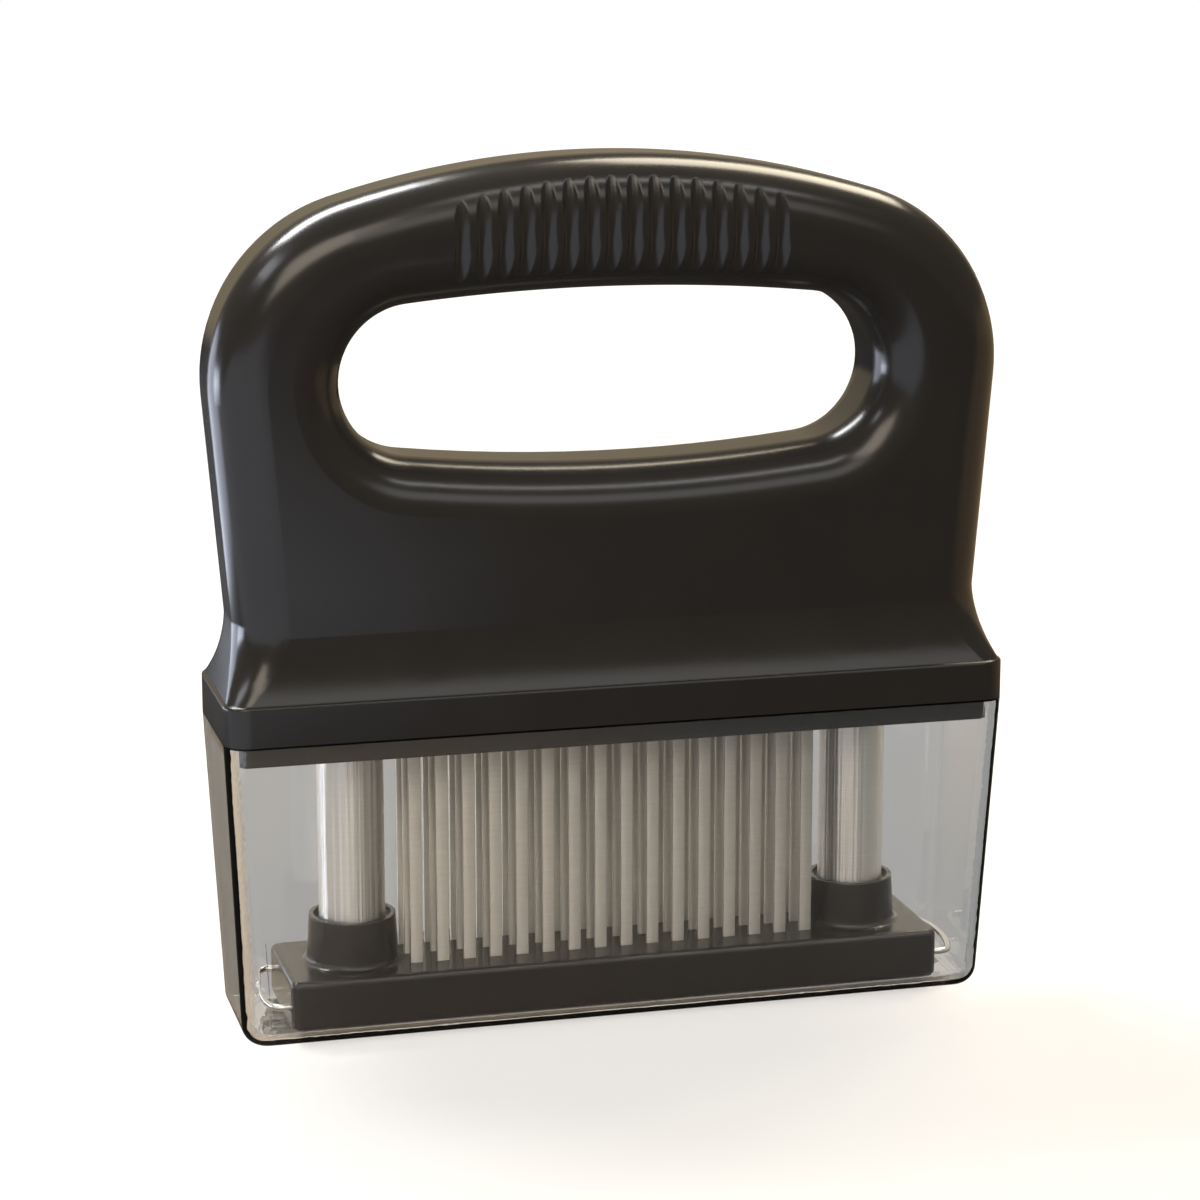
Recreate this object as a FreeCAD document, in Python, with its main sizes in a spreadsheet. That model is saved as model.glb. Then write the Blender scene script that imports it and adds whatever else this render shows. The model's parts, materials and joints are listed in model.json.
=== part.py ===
import FreeCAD, Part
import math
import os

import Sketcher

# Blade meat tenderizer: a black one-piece handle stands on a clear cover.
# Inside the cover 48 steel blades hang from the handle, and a spring-loaded foot
# on two steel columns shields their points until the handle is pushed down.
# Everything is in millimetres. X runs along the handle, Y from front to back, Z up.
# Zero is the middle of the cover's underside, which is what the object stands on.
# Heights named "seam" start at the plane where the handle's flange meets the cover.

doc = FreeCAD.newDocument("meat_tenderizer")
sheet = doc.addObject("Spreadsheet::Sheet", "Sizes")

driving = (
    ("cover_height", 50.6, "seam above the table"),
    ("flange_length", 130.0, "flange and cover rim along X"),
    ("flange_depth", 30.4, "flange and cover rim along Y"),
    ("flange_height", 6.8, "upright band of the flange"),
    ("flange_corner", 3.9, "plan radius of the flange's corners"),
    ("flange_edge_round", 0.5, "round on the band's upper edge"),
    ("neck_height", 19.3, "seam to the end of the cove above the flange"),
    ("neck_inset", 2.75, "cove's end inside the flange's, where the handle starts"),
    ("neck_width", "=flange_length - 2 * neck_inset", "handle along X where the cove ends"),
    ("neck_root", 3.4, "seam to the grip's root inside the flange"),
    ("cove_start", 0.1, "cove's upper end inside the grip's surface"),
    ("grip_inset", 3.2, "handle's faces inside the flange's"),
    ("grip_depth", "=flange_depth - 2 * grip_inset", "handle along Y"),
    ("grip_edge_round", 8.3, "round on the handle's outer edges"),
    ("side_angle", 4.6, "lean of the handle's ends, in degrees"),
    ("shoulder_radius", 29.7, "outline radius at the shoulders"),
    ("crown_rise", 6.6, "crown above its height over the finger hole's ends"),
    (
        "crown_radius",
        "=(flange_length / 2 - hole_inset) ^ 2 / (2 * crown_rise)",
        "outline radius along the top",
    ),
    ("handle_height", 90.9, "seam to the crown"),
    ("hole_inset", 20.5, "finger hole's end inside the flange's"),
    ("hole_width", "=flange_length - 2 * hole_inset", "finger hole along X"),
    ("hole_top", 69.7, "seam to the hole's highest point"),
    ("hole_bottom", 41.7, "seam to the hole's lowest point"),
    ("hole_end_radius", 12.2, "radius of the hole's two ends"),
    ("hole_end_height", 55.8, "seam to the middle of those ends"),
    ("hole_edge_round", 8.2, "round on the hole's edges"),
    ("groove_count", 16, "finger grooves on each face of the grip"),
    ("groove_pitch", 3.47, "spacing of the grooves"),
    ("groove_width", 2.2, "width of a groove at the surface"),
    ("groove_dip", 0.5, "depth of a groove at its middle"),
    ("groove_sweep", 21.5, "radius that a groove follows up and down"),
    ("groove_span", 52.0, "part of that circle that the cutter takes, in degrees"),
    ("handle_wall", 2.7, "wall round the pocket for the blade pack"),
    ("pocket_inset", 13.5, "pocket's end inside the flange's"),
    ("pocket_length", "=flange_length - 2 * pocket_inset", "pocket in the flange's underside"),
    ("core_wall", 2.0, "ribs between the cored cells"),
    ("core_count", 5, "cored cells above the blade pack"),
    ("core_margin", 10.0, "middle of a column to the nearest cell"),
    (
        "core_width",
        "=(column_spacing - 2 * core_margin - (core_count - 1) * core_wall) / core_count",
        "width of one cored cell",
    ),
    ("core_top", 33.0, "seam to the roof of the cells"),
    ("clamp_ledge", 2.0, "ledge that presses on the clamp plate"),
    ("bore_top", 40.0, "seam to the roof of a column's bore"),
    ("lip_inset", 2.5, "lip plate's edge inside the flange's"),
    ("lip_thickness", 3.3, "lip plate below the seam"),
    ("lip_corner", 1.6, "plan radius of the lip plate's corners"),
    ("column_inset", 22.0, "flange's end to the middle of a column"),
    ("column_spacing", "=flange_length - 2 * column_inset", "distance between the columns"),
    ("column_diameter", 10.9, "polished column"),
    ("column_bore", 7.8, "bore of the column, round the spring"),
    ("column_solid", 10.4, "solid length at the column's foot"),
    ("column_chamfer", 0.5, "chamfer on the column's ends"),
    ("bush_wall", 0.9, "wall of the guide bush"),
    ("bush_collar", 1.0, "collar on top of the guide bush"),
    ("boss_wall", 1.0, "lip plate's wall round the bush"),
    ("boss_rise", 8.0, "lip plate's bosses above the seam"),
    ("ring_height", 3.0, "stop ring on the column's neck"),
    ("ring_diameter", 13.0, "stop ring, outside"),
    ("column_neck", 9.8, "column's neck inside the stop ring"),
    ("column_peen", 0.5, "neck standing out over the ring"),
    ("blade_count", 16, "blades in a row"),
    ("row_count", 3, "rows of blades"),
    ("blade_margin", 9.625, "middle of a column to the nearest blade's"),
    (
        "blade_pitch",
        "=(column_spacing - 2 * blade_margin) / (blade_count - 1)",
        "spacing of the blades along X",
    ),
    ("row_pitch", 5.0, "spacing of the rows along Y"),
    ("blade_width", 2.05, "blade along X"),
    ("blade_thickness", 0.8, "blade along Y"),
    ("blade_reach", 46.6, "seam down to the blade's tip"),
    ("blade_bevel", 2.4, "height of the slanted point"),
    ("blade_head_width", 2.9, "head that hangs in the carrier"),
    ("blade_head_height", 1.5, "height of that head"),
    ("slot_clearance", 0.15, "round a blade in its slot"),
    ("carrier_margin", 4.0, "middle of a column to the carrier's end"),
    ("carrier_length", "=column_spacing - 2 * carrier_margin", "blade carrier along X"),
    ("carrier_gap", 0.6, "carrier clear of the pocket's walls"),
    ("carrier_height", 8.6, "blade carrier above the seam"),
    ("foot_inset", 10.0, "foot's end inside the flange's"),
    ("foot_length", "=flange_length - 2 * foot_inset", "foot along X"),
    ("foot_side_inset", 4.0, "foot's side inside the flange's"),
    ("foot_depth", "=flange_depth - 2 * foot_side_inset", "foot along Y"),
    ("foot_height", 8.4, "foot without its bosses"),
    ("foot_clearance", 2.2, "foot above the table"),
    ("foot_corner", 1.6, "plan radius of the foot's corners"),
    ("foot_edge_round", 1.0, "round on the foot's upper and lower edges"),
    ("foot_boss_bottom", 15.2, "foot boss at its root"),
    ("foot_boss_top", 14.2, "foot boss at its rim"),
    ("foot_boss_height", 7.8, "foot boss"),
    ("foot_boss_recess", 0.8, "step inside the boss's rim, deep"),
    ("foot_boss_step", 0.9, "step inside the boss's rim, wide"),
    ("foot_floor", 2.0, "foot under the columns"),
    ("clip_wire", 1.1, "wire of the retaining clip"),
    ("clip_inset", 5.6, "clip's bow inside the flange's end"),
    ("clip_outer", "=flange_length / 2 - clip_inset", "middle of the object to that bow"),
    ("clip_edge", 1.4, "leg inside the foot's side, at the foot's end"),
    ("clip_exit", "=foot_depth / 2 - clip_edge", "half spread of the legs at that end"),
    ("clip_angle", 20.6, "slant of the legs, in degrees"),
    ("clip_leg", 16.6, "length of a leg inside the foot"),
    ("clip_bend", 2.2, "bend radius between the clip's legs and its bow"),
    ("spring_wire", 0.8, "compression spring's wire"),
    ("spring_diameter", 7.0, "compression spring, outside"),
    ("spring_turns", 22, "turns of the spring"),
    ("post_diameter", 4.6, "spring post inside the spring"),
    ("post_length", 25.0, "spring post below its head"),
    ("post_head", 1.2, "head that the spring pushes on"),
    ("post_spigot", 3.0, "spigot in the handle, length and diameter"),
    ("screw_diameter", 3.0, "lip plate screw"),
    ("screw_length", 12.0, "screw above its head"),
    ("screw_head", 5.4, "head of the screw"),
    ("screw_head_height", 1.7, "height of that head"),
    ("screw_spare", 1.0, "hole deeper than the screw"),
    ("drive_width", 0.9, "arm of the cross in the screw's head, wide"),
    ("drive_length", 3.2, "arm of that cross, long"),
    ("drive_depth", 0.9, "depth of that cross"),
    ("screw_inset", 8.5, "screw inside the flange's end"),
    ("screw_reach", "=flange_length / 2 - screw_inset", "middle of the object to a screw, along X"),
    ("screw_side_inset", 9.0, "screw inside the flange's side"),
    ("screw_spread", "=flange_depth / 2 - screw_side_inset", "the same along Y"),
    ("cover_wall", 1.6, "wall of the clear cover"),
    ("cover_draft", 2.3, "inset of each side at the bottom"),
    ("cover_base_corner", 4.4, "plan radius at the bottom"),
    ("cover_bottom_round", 3.4, "round under the cover"),
    ("running_clearance", 0.08, "column in its bush, on the radius"),
    ("fixed_clearance", 0.03, "a piece seated in another, on the radius"),
    ("free_clearance", 0.35, "a moving piece in a bore, on the radius"),
)

for line, (alias, value, note) in enumerate(driving, start=1):
    sheet.set(f"A{line}", note)
    sheet.setAlias(f"B{line}", alias)
for line, (alias, value, note) in enumerate(driving, start=1):
    sheet.set(f"B{line}", str(value))
doc.recompute()

sheetWords = {alias: f"Sizes.{alias}" for alias, value, note in driving}

# Two measured places count as the same when they are this close.
closeEnough = 0.02


def bound(text):
    """Write the sheet's name in front of every driving dimension in a formula."""
    words = []
    word = ""
    for letter in text + " ":
        if letter.isalnum() or letter == "_":
            word += letter
            continue
        words.append(sheetWords.get(word, word))
        words.append(letter)
        word = ""
    return "".join(words).strip()


def size(text):
    """The present value of a formula of driving dimensions."""
    return float(sheet.evalExpression(bound(text)))


def bind(target, **formulas):
    for name, text in formulas.items():
        target.setExpression(name, bound(text))
    return target


def place(target, x="0", y="0", z="0"):
    for axis, text in zip("xyz", (x, y, z)):
        target.setExpression(f"Placement.Base.{axis}", bound(text))
    return target


def newBody(label, x="0", z="cover_height"):
    """A body whose own zero lies on the seam plane unless another height is given."""
    made = doc.addObject("PartDesign::Body", label)
    made.AllowCompound = True
    return place(made, x=x, z=z)


def origin(body, role):
    return [thing for thing in body.Origin.OriginFeatures if thing.Role == role][0]


def newSketch(body, name, role, lift="0"):
    sketch = body.newObject("Sketcher::SketchObject", name)
    sketch.AttachmentSupport = [(origin(body, role), "")]
    sketch.MapMode = "FlatFace"
    sketch.setExpression("AttachmentOffset.Base.z", bound(lift))
    return sketch


def fixed(sketch, name, text, kind, *where):
    """Add a named dimension to a sketch and tie it to a formula."""
    start = size(text)
    if kind == "Angle":
        start = math.radians(start)
    index = sketch.addConstraint(Sketcher.Constraint(kind, *where, start))
    sketch.renameConstraint(index, name)
    suffix = " * 1 deg" if kind == "Angle" else ""
    sketch.setExpression(f"Constraints.{name}", f"({bound(text)}){suffix}")


def relate(sketch, *relations):
    sketch.addConstraint([Sketcher.Constraint(*relation) for relation in relations])


def roundedSketch(body, name, length, depth, corner, lift="0"):
    """A rectangle with round corners, about the body's Z axis."""
    sketch = newSketch(body, name, "XY_Plane", lift)
    halfX, halfY, radius = size(length) / 2, size(depth) / 2, size(corner)
    inX, inY = halfX - radius, halfY - radius
    corners = ((inX, -inY, -90), (inX, inY, 0), (-inX, inY, 90), (-inX, -inY, 180))
    sides = (
        ((-inX, -halfY), (inX, -halfY)),
        ((halfX, -inY), (halfX, inY)),
        ((inX, halfY), (-inX, halfY)),
        ((-halfX, inY), (-halfX, -inY)),
    )
    for side in sides:
        sketch.addGeometry(Part.LineSegment(*[FreeCAD.Vector(x, y, 0) for x, y in side]))
    for x, y, turn in corners:
        circle = Part.Circle(FreeCAD.Vector(x, y, 0), FreeCAD.Vector(0, 0, 1), radius)
        start = math.radians(turn)
        sketch.addGeometry(Part.ArcOfCircle(circle, start, start + math.pi / 2))
    for side in range(4):
        relate(sketch, ("Tangent", side, 2, side + 4, 1))
        relate(sketch, ("Tangent", side + 4, 2, (side + 1) % 4, 1))
    relate(sketch, ("Horizontal", 0), ("Vertical", 1), ("Horizontal", 2), ("Vertical", 3))
    relate(sketch, ("Equal", 4, 5), ("Equal", 5, 6), ("Equal", 6, 7))
    relate(sketch, ("Symmetric", 4, 3, 6, 3, -1, 1))
    fixed(sketch, "corner", corner, "Radius", 4)
    fixed(sketch, "length", length, "DistanceX", 3, 1, 1, 1)
    fixed(sketch, "depth", depth, "DistanceY", 0, 1, 2, 1)
    return sketch


def profileSketch(body, name, role, points):
    """A closed outline of straight edges whose corners are pairs of formulas."""
    sketch = newSketch(body, name, role)
    spots = [FreeCAD.Vector(size(x), size(y), 0) for x, y in points]
    for number, spot in enumerate(spots):
        sketch.addGeometry(Part.LineSegment(spot, spots[(number + 1) % len(spots)]))
    for number in range(len(spots)):
        relate(sketch, ("Coincident", number, 2, (number + 1) % len(spots), 1))
    for number, (x, y) in enumerate(points):
        fixed(sketch, f"x{number}", x, "DistanceX", -1, 1, number, 1)
        fixed(sketch, f"y{number}", y, "DistanceY", -1, 1, number, 1)
    return sketch


def pad(body, sketch, length, **settings):
    made = body.newObject("PartDesign::Pad", sketch.Name + "_pad")
    made.Profile = sketch
    bind(made, Length=length)
    for name, value in settings.items():
        setattr(made, name, value)
    return made


def revolve(body, sketch):
    made = body.newObject("PartDesign::Revolution", sketch.Name + "_turned")
    made.Profile = sketch
    made.ReferenceAxis = (sketch, ["V_Axis"])
    made.Angle = 360
    return made


def primitive(body, kind, name, x="0", y="0", z="0", **formulas):
    return place(bind(body.newObject(f"PartDesign::{kind}", name), **formulas), x, y, z)


def block(body, kind, name, length, depth, height, x="0", y="0", z="0"):
    """A box whose middle in plan is at x, y and whose underside is at z."""
    at = {"x": f"{x} - ({length}) / 2", "y": f"{y} - ({depth}) / 2", "z": z}
    return primitive(body, kind, name, Length=length, Width=depth, Height=height, **at)


def pattern(body, feature, name, count, pitch, rows=None, rowPitch=None):
    """Repeat a feature along X, and along Y too where rows are given."""
    made = body.newObject("PartDesign::LinearPattern", name)
    made.Originals = [feature]
    made.Direction = (origin(body, "X_Axis"), [""])
    made.Mode = "Extent"
    bind(made, Length=f"({count} - 1) * ({pitch})", Occurrences=count)
    if rows:
        made.Direction2 = (origin(body, "Y_Axis"), [""])
        made.Mode2 = "Extent"
        bind(made, Length2=f"({rows} - 1) * ({rowPitch})", Occurrences2=rows)
    body.Tip = made
    return made


def roundEdges(body, name, radius, wanted):
    """Round the edges of the body's present shape that the test picks."""
    base = body.Tip
    base.recompute(True)
    names = [f"Edge{n}" for n, edge in enumerate(base.Shape.Edges, start=1) if wanted(edge)]
    made = body.newObject("PartDesign::Fillet", name)
    made.Base = (base, names)
    bind(made, Radius=radius)
    return made


def edgeLevel(edge, axis):
    """The coordinate of an edge that lies in a plane square to the axis, or None."""
    low = getattr(edge.BoundBox, axis + "Min")
    high = getattr(edge.BoundBox, axis + "Max")
    return (low + high) / 2 if high - low < closeEnough else None


def near(value, text):
    return value is not None and abs(value - size(text)) < closeEnough


# Handle: flange, cove, grip loop with its finger hole, and the hollows underneath.


def buildHandle():
    core = newBody("handle_core")
    pad(core, handleOutline(core), "grip_depth", Midplane=True)
    hole = core.newObject("PartDesign::Pocket", "finger_hole")
    hole.Profile = holeOutline(core)
    hole.Type = "ThroughAll"
    hole.Midplane = True
    roundEdges(core, "grip_edges", "grip_edge_round", onGripRim)
    roundEdges(core, "hole_edges", "hole_edge_round", onHoleRim)
    flange = roundedSketch(core, "flange", "flange_length", "flange_depth", "flange_corner")
    pad(core, flange, "flange_height")
    roundEdges(
        core,
        "flange_edge",
        "flange_edge_round",
        lambda edge: near(edgeLevel(edge, "Z"), "flange_height"),
    )
    addCove(core)
    addHollows(core)
    return core


def addCove(core):
    """The hollow curve that carries the flange up into the narrower grip."""
    rise = "(neck_height - flange_height)"
    length, depth = "(neck_width - 2 * cove_start)", "(grip_depth - 2 * cove_start)"
    insetX = f"((flange_length - {length}) / 2 - flange_edge_round)"
    insetY = f"((flange_depth - {depth}) / 2 - flange_edge_round)"
    sections = []
    steps = 4
    for step in range(steps + 1):
        down = f"({rise} * {step / steps})"
        spread = []
        for inset in (insetX, insetY):
            curve = f"(({inset} ^ 2 + {rise} ^ 2) / (2 * {inset}))"
            spread.append(f"({curve} - sqrt({curve} ^ 2 - {down} ^ 2))")
        share = step / steps
        upper, lower = "(grip_edge_round - cove_start)", "(flange_corner - flange_edge_round)"
        corner = f"{upper} * {1 - share**2} + {lower} * {share**2}"
        sections.append(
            roundedSketch(
                core,
                f"cove_{step}",
                f"{length} + 2 * {spread[0]}",
                f"{depth} + 2 * {spread[1]}",
                corner,
                f"neck_height - {down}",
            )
        )
    cove = core.newObject("PartDesign::AdditiveLoft", "cove")
    cove.Profile = sections[0]
    cove.Sections = sections[1:]
    return cove


def arcBetween(centre, radius, start, end):
    circle = Part.Circle(FreeCAD.Vector(*centre, 0), FreeCAD.Vector(0, 0, 1), radius)
    return Part.ArcOfCircle(circle, start, end)


def topPoint(sketch, arc, name, text):
    """Hold an arc's highest or lowest point, on the Z axis, at a height."""
    spot = sketch.addGeometry(Part.Point(FreeCAD.Vector(0, size(text), 0)), True)
    relate(sketch, ("PointOnObject", spot, 1, -2), ("PointOnObject", spot, 1, arc))
    fixed(sketch, name, text, "DistanceY", -1, 1, spot, 1)


rootWidth = "(neck_width - 2 * (neck_height - neck_root) * tan(side_angle * 1 deg))"


def handleOutline(core):
    """Crown, two shoulders and two leaning ends, seen from the front."""
    sketch = newSketch(core, "handle_outline", "XZ_Plane")
    crown, shoulder = size("crown_radius"), size("shoulder_radius")
    crownZ = size("handle_height") - crown
    lean = math.radians(size("side_angle"))
    footX, footZ = size(rootWidth) / 2, size("neck_root")
    outX, outZ = math.cos(lean), -math.sin(lean)
    # The shoulder's centre lies at one radius inside the leaning end
    # and at the difference of the radii from the crown's centre.
    startX, startZ = footX - shoulder * outX, footZ - shoulder * outZ
    dropZ = startZ - crownZ
    along = startX * -outZ + dropZ * outX
    reach = crown - shoulder
    rest = startX**2 + dropZ**2 - reach**2
    run = -along + math.sqrt(along**2 - rest)
    centreX, centreZ = startX - run * outZ, startZ + run * outX
    turn = math.atan2(centreZ - crownZ, centreX)
    tangentX, tangentZ = centreX + shoulder * outX, centreZ + shoulder * outZ
    left, right = math.pi - turn, turn
    sketch.addGeometry(arcBetween((0, crownZ), crown, right, left))
    sketch.addGeometry(arcBetween((centreX, centreZ), shoulder, -lean, right))
    sketch.addGeometry(arcBetween((-centreX, centreZ), shoulder, left, math.pi + lean))
    ends = ((tangentX, tangentZ), (footX, footZ), (-footX, footZ), (-tangentX, tangentZ))
    spots = [FreeCAD.Vector(x, z, 0) for x, z in ends]
    for number in range(3):
        sketch.addGeometry(Part.LineSegment(spots[number], spots[number + 1]))
    relate(
        sketch,
        ("Tangent", 1, 2, 0, 1),
        ("Tangent", 0, 2, 2, 1),
        ("Tangent", 3, 1, 1, 1),
        ("Tangent", 2, 2, 5, 2),
        ("Coincident", 3, 2, 4, 1),
        ("Coincident", 4, 2, 5, 1),
        ("PointOnObject", 0, 3, -2),
        ("Equal", 1, 2),
        ("Symmetric", 4, 1, 4, 2, -2),
    )
    fixed(sketch, "crown_radius", "crown_radius", "Radius", 0)
    fixed(sketch, "shoulder_radius", "shoulder_radius", "Radius", 1)
    fixed(sketch, "root_height", "neck_root", "DistanceY", -1, 1, 4, 1)
    fixed(sketch, "root_width", rootWidth, "DistanceX", 4, 2, 4, 1)
    fixed(sketch, "right_lean", "90 + side_angle", "Angle", 3, 2, 4, 1)
    fixed(sketch, "left_lean", "90 + side_angle", "Angle", 4, 2, 5, 1)
    topPoint(sketch, 0, "handle_height", "handle_height")
    return sketch


def holeOutline(core):
    """Two round ends joined by a gently arched top and bottom."""
    sketch = newSketch(core, "hole_outline", "XZ_Plane")
    ending = size("hole_end_radius")
    endX = size("hole_width") / 2 - ending
    endZ = size("hole_end_height")
    arches = []
    for level in (size("hole_top"), size("hole_bottom")):
        rise = abs(level - endZ)
        radius = (endX**2 + rise**2 - ending**2) / (2 * (rise - ending))
        side = 1 if level > endZ else -1
        arches.append((level - side * radius, radius, side))
    angles = [math.atan2(endZ - middle, endX) for middle, radius, side in arches]
    upper, lower = angles
    (topZ, topRadius, _), (lowZ, lowRadius, _) = arches
    sketch.addGeometry(arcBetween((0, topZ), topRadius, upper, math.pi - upper))
    sketch.addGeometry(arcBetween((endX, endZ), ending, lower, upper))
    sketch.addGeometry(arcBetween((0, lowZ), lowRadius, math.pi - lower, 2 * math.pi + lower))
    sketch.addGeometry(arcBetween((-endX, endZ), ending, math.pi - upper, math.pi - lower))
    relate(
        sketch,
        ("Tangent", 1, 2, 0, 1),
        ("Tangent", 0, 2, 3, 1),
        ("Tangent", 3, 2, 2, 1),
        ("Tangent", 2, 2, 1, 1),
        ("PointOnObject", 0, 3, -2),
        ("PointOnObject", 2, 3, -2),
        ("Equal", 1, 3),
    )
    fixed(sketch, "end_radius", "hole_end_radius", "Radius", 1)
    fixed(sketch, "end_height", "hole_end_height", "DistanceY", -1, 1, 1, 3)
    fixed(sketch, "end_reach", "hole_width / 2 - hole_end_radius", "DistanceX", -1, 1, 1, 3)
    topPoint(sketch, 0, "hole_top", "hole_top")
    topPoint(sketch, 2, "hole_bottom", "hole_bottom")
    return sketch


def onFace(edge):
    level = edgeLevel(edge, "Y")
    return level is not None and near(abs(level), "grip_depth / 2")


def insideHole(edge):
    box = edge.BoundBox
    reach = size("hole_width") / 2 + closeEnough
    low, high = size("hole_bottom") - closeEnough, size("hole_top") + closeEnough
    return max(box.XMax, -box.XMin) < reach and low < box.ZMin and box.ZMax < high


def onGripRim(edge):
    above = edge.BoundBox.ZMax > size("neck_root") + closeEnough
    return onFace(edge) and above and not insideHole(edge)


def onHoleRim(edge):
    return onFace(edge) and insideHole(edge)


def addHollows(core):
    """The pocket for the blade pack, the cored cells and the column bores."""
    pocketDepth = "(grip_depth - 2 * handle_wall)"
    packTop = "(carrier_height + blade_head_height)"
    block(core, "SubtractiveBox", "pack_pocket", "pocket_length", pocketDepth, packTop)
    cell = block(
        core,
        "SubtractiveBox",
        "cell",
        "core_width",
        f"({pocketDepth} - 2 * clamp_ledge)",
        "core_top",
        x="-(core_count - 1) * (core_width + core_wall) / 2",
    )
    pattern(core, cell, "cells", "core_count", "core_width + core_wall")
    for side, sign in (("left", "-"), ("right", "")):
        across = f"{sign}column_spacing / 2"
        primitive(
            core,
            "SubtractiveCylinder",
            f"{side}_bore",
            x=across,
            Radius="ring_diameter / 2 + free_clearance",
            Height="bore_top",
        )
        primitive(
            core,
            "SubtractiveCylinder",
            f"{side}_spigot_hole",
            x=across,
            z="bore_top",
            Radius="post_spigot / 2 + fixed_clearance",
            Height="post_spigot + fixed_clearance",
        )
    for number, (x, y) in enumerate(screwSpots()):
        primitive(
            core,
            "SubtractiveCylinder",
            f"screw_hole_{number}",
            x=x,
            y=y,
            Radius="screw_diameter / 2 + fixed_clearance",
            Height="screw_length - lip_thickness + screw_head_height + screw_spare",
        )


def screwSpots():
    return [(f"{a}screw_reach", f"{b}screw_spread") for a in ("", "-") for b in ("", "-")]


def buildGrooves():
    """Shallow upright grooves on both faces of the grip, under the fingers.

    Each is cut by part of a ring that lies against the grip, so it fades out
    towards the top and the underside. Its middle follows the arched grip.
    """
    tube = "((groove_width / 2) ^ 2 + groove_dip ^ 2) / (2 * groove_dip)"
    crownDrop = "(crown_radius - sqrt(crown_radius ^ 2 - ({x}) ^ 2)) / 2"
    rings = []
    for number in range(int(size("groove_count"))):
        x = f"({number} - (groove_count - 1) / 2) * groove_pitch"
        for face, sign in (("front", "-"), ("back", "")):
            ring = doc.addObject("Part::Torus", f"groove_{face}_{number}")
            bind(ring, Radius1=f"groove_sweep + {tube}", Radius2=tube, Angle3="groove_span")
            outward = f"{sign}(grip_depth / 2 - groove_dip - groove_sweep)"
            middle = f"(handle_height + hole_top) / 2 - {crownDrop.format(x=x)}"
            facing = 270 if face == "front" else 90
            turned = FreeCAD.Rotation(FreeCAD.Vector(1, 0, 0), facing - size("groove_span") / 2)
            upright = FreeCAD.Rotation(FreeCAD.Vector(0, 1, 0), 90)
            ring.Placement.Rotation = turned.multiply(upright)
            place(ring, x=x, y=outward, z=f"cover_height + {middle}")
            rings.append(ring)
    group = doc.addObject("Part::Compound", "grip_grooves")
    group.Links = rings
    return group


handle = doc.addObject("Part::Cut", "handle_shell")
handle.Base = buildHandle()
handle.Tool = buildGrooves()


# Lip plate: closes the flange, carries the bushes and lets the blades through.


def bladeSlots(body, name, x, z, height, width="blade_width", thickness="blade_thickness"):
    slot = block(
        body,
        "SubtractiveBox",
        name,
        f"({width} + 2 * slot_clearance)",
        f"({thickness} + 2 * slot_clearance)",
        height,
        x=x,
        y="-(row_count - 1) * row_pitch / 2",
        z=z,
    )
    return pattern(body, slot, name + "s", "blade_count", "blade_pitch", "row_count", "row_pitch")


firstBlade = "-(blade_count - 1) * blade_pitch / 2"
bushRadius = "(column_diameter / 2 + running_clearance + bush_wall)"


def buildLipPlate():
    plate = newBody("lip_plate", z="cover_height - lip_thickness")
    outline = roundedSketch(
        plate,
        "lip",
        "flange_length - 2 * lip_inset",
        "flange_depth - 2 * lip_inset",
        "lip_corner",
    )
    pad(plate, outline, "lip_thickness")
    for side, sign in (("left", "-"), ("right", "")):
        across = f"{sign}column_spacing / 2"
        primitive(
            plate,
            "AdditiveCylinder",
            f"{side}_boss",
            x=across,
            Radius=f"{bushRadius} + fixed_clearance + boss_wall",
            Height="lip_thickness + boss_rise",
        )
    for side, sign in (("left", "-"), ("right", "")):
        primitive(
            plate,
            "SubtractiveCylinder",
            f"{side}_hole",
            x=f"{sign}column_spacing / 2",
            Radius=f"{bushRadius} + fixed_clearance",
            Height="lip_thickness + boss_rise",
        )
    for number, (x, y) in enumerate(screwSpots()):
        primitive(
            plate,
            "SubtractiveCylinder",
            f"screw_pass_{number}",
            x=x,
            y=y,
            Radius="screw_diameter / 2 + fixed_clearance",
            Height="lip_thickness",
        )
        primitive(
            plate,
            "SubtractiveCylinder",
            f"screw_seat_{number}",
            x=x,
            y=y,
            Radius="screw_head / 2 + fixed_clearance",
            Height="screw_head_height",
        )
    bladeSlots(plate, "plate_slot", firstBlade, "0", "lip_thickness")
    return plate


def buildScrews():
    """Four cross-head screws from below, through the lip plate into the handle."""
    group = newBody("lip_plate_screws", z="cover_height - lip_thickness")
    for number, (x, y) in enumerate(screwSpots()):
        primitive(
            group,
            "AdditiveCylinder",
            f"head_{number}",
            x=x,
            y=y,
            Radius="screw_head / 2",
            Height="screw_head_height",
        )
        primitive(
            group,
            "AdditiveCylinder",
            f"shank_{number}",
            x=x,
            y=y,
            Radius="screw_diameter / 2",
            Height="screw_head_height + screw_length",
        )
        for arm, length, depth in (
            ("across", "drive_length", "drive_width"),
            ("along", "drive_width", "drive_length"),
        ):
            name = f"drive_{arm}_{number}"
            block(group, "SubtractiveBox", name, length, depth, "drive_depth", x=x, y=y)
    return group


# Blade pack: a slotted carrier on the lip plate, three rows of blades hanging in it
# by their heads, and a clamp plate that the handle presses down on them.


def packBlock(body, name, height):
    depth = "(grip_depth - 2 * handle_wall - 2 * carrier_gap)"
    block(body, "AdditiveBox", name, "carrier_length", depth, height)
    for side, sign in (("left", "-"), ("right", "")):
        primitive(
            body,
            "SubtractiveCylinder",
            f"{name}_{side}_notch",
            x=f"{sign}column_spacing / 2",
            Radius=f"{bushRadius} + 2 * fixed_clearance + boss_wall + slot_clearance",
            Height=height,
        )


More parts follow.
